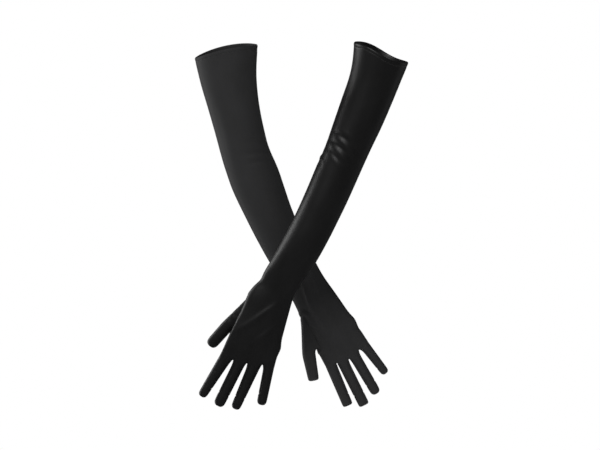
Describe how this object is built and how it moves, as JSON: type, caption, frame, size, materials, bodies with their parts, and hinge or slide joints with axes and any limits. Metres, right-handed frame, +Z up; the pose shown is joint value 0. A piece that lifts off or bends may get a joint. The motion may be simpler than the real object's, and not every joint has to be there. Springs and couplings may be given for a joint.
{
  "type": "opera gloves",
  "caption": "Pair of over-elbow stretch-satin opera gloves, filled as when worn, hanging fingers down with the forearms crossed.",
  "frame": {"origin": "middle of the right glove's arm opening", "axes": "+Z up along the hanging gloves, +X across the pair towards the left glove's arm opening, -Y towards the viewer"},
  "size_m": [0.3202, 0.1607, 0.5484],
  "materials": {
    "satin": "black stretch satin",
    "satin_side": "black stretch satin side strip",
    "elastic": "black knitted elastic tape",
    "thread": "black polyester thread"
  },
  "bodies": {
    "right_upper_arm": {"right_upper_sleeve": "satin", "right_hem_elastic": "elastic", "right_hem_thread": "thread", "right_side_seam_upper": "thread"},
    "right_forearm": {"right_forearm_sleeve": "satin", "right_side_seam_forearm": "thread"},
    "right_palm": {"right_hand": "satin", "right_side_seam_hand": "thread", "right_thumb_base": "satin", "right_thumb_seam": "thread"},
    "right_thumb": {"right_thumb": "satin"},
    "right_index": {"right_index_finger": "satin", "right_index_fourchette_outer": "satin_side"},
    "right_middle": {"right_middle_finger": "satin", "right_middle_fourchette_inner": "satin_side", "right_middle_fourchette_outer": "satin_side"},
    "right_ring": {"right_ring_finger": "satin", "right_ring_fourchette_inner": "satin_side", "right_ring_fourchette_outer": "satin_side"},
    "right_little": {"right_little_finger": "satin", "right_little_fourchette_inner": "satin_side"},
    "left_upper_arm": {"left_upper_sleeve": "satin", "left_hem_elastic": "elastic", "left_hem_thread": "thread", "left_side_seam_upper": "thread"},
    "left_forearm": {"left_forearm_sleeve": "satin", "left_side_seam_forearm": "thread"},
    "left_palm": {"left_hand": "satin", "left_side_seam_hand": "thread", "left_thumb_base": "satin", "left_thumb_seam": "thread"},
    "left_thumb": {"left_thumb": "satin"},
    "left_index": {"left_index_finger": "satin", "left_index_fourchette_outer": "satin_side"},
    "left_middle": {"left_middle_finger": "satin", "left_middle_fourchette_inner": "satin_side", "left_middle_fourchette_outer": "satin_side"},
    "left_ring": {"left_ring_finger": "satin", "left_ring_fourchette_inner": "satin_side", "left_ring_fourchette_outer": "satin_side"},
    "left_little": {"left_little_finger": "satin", "left_little_fourchette_inner": "satin_side"}
  },
  "joints": [
    {"name": "left_lift_off", "type": "slide", "parent": "right_upper_arm", "child": "left_upper_arm", "axis": [0, -1, 0], "range_m": [0, 0.15]},
    {"name": "right_elbow_bend", "type": "hinge", "parent": "right_upper_arm", "child": "right_forearm", "pos_m": [0.0315, 0, -0.157], "axis": [0, -1, 0], "range_deg": [0, 75]},
    {"name": "right_wrist_bend", "type": "hinge", "parent": "right_forearm", "child": "right_palm", "pos_m": [0.12, 0, -0.35], "axis": [-0.8644, 0, -0.5028], "range_deg": [-45, 45]},
    {"name": "right_thumb_bend", "type": "hinge", "parent": "right_palm", "child": "right_thumb", "pos_m": [0.12355, -0.01824, -0.44778], "axis": [-0.9825, 0, -0.1863], "range_deg": [0, 40]},
    {"name": "right_index_bend", "type": "hinge", "parent": "right_palm", "child": "right_index", "pos_m": [0.157, -0.00748, -0.469], "axis": [-0.9214, 0, -0.3887], "range_deg": [0, 75]},
    {"name": "right_middle_bend", "type": "hinge", "parent": "right_palm", "child": "right_middle", "pos_m": [0.176, -0.00748, -0.467], "axis": [-0.8958, 0, -0.4445], "range_deg": [0, 75]},
    {"name": "right_ring_bend", "type": "hinge", "parent": "right_palm", "child": "right_ring", "pos_m": [0.193, -0.00726, -0.457], "axis": [-0.8627, 0, -0.5057], "range_deg": [0, 75]},
    {"name": "right_little_bend", "type": "hinge", "parent": "right_palm", "child": "right_little", "pos_m": [0.206, -0.00682, -0.439], "axis": [-0.7926, 0, -0.6097], "range_deg": [0, 75]},
    {"name": "left_elbow_bend", "type": "hinge", "parent": "left_upper_arm", "child": "left_forearm", "pos_m": [0.18, -0.075, -0.152], "axis": [0, 1, 0], "range_deg": [0, 75]},
    {"name": "left_wrist_bend", "type": "hinge", "parent": "left_forearm", "child": "left_palm", "pos_m": [0.077, -0.075, -0.353], "axis": [0.8895, 0, -0.4569], "range_deg": [-45, 45]},
    {"name": "left_thumb_bend", "type": "hinge", "parent": "left_palm", "child": "left_thumb", "pos_m": [0.00901, -0.05715, -0.40619], "axis": [0.7455, 0, -0.6665], "range_deg": [0, 40]},
    {"name": "left_index_bend", "type": "hinge", "parent": "left_palm", "child": "left_index", "pos_m": [0.001, -0.0673, -0.458], "axis": [0.8619, 0, -0.507], "range_deg": [0, 75]},
    {"name": "left_middle_bend", "type": "hinge", "parent": "left_palm", "child": "left_middle", "pos_m": [0.023, -0.0673, -0.464], "axis": [0.8944, 0, -0.4472], "range_deg": [0, 75]},
    {"name": "left_ring_bend", "type": "hinge", "parent": "left_palm", "child": "left_ring", "pos_m": [0.0435, -0.0673, -0.469], "axis": [0.9251, 0, -0.3797], "range_deg": [0, 75]},
    {"name": "left_little_bend", "type": "hinge", "parent": "left_palm", "child": "left_little", "pos_m": [0.067, -0.06796, -0.466], "axis": [0.9797, 0, -0.2006], "range_deg": [0, 75]}
  ]
}
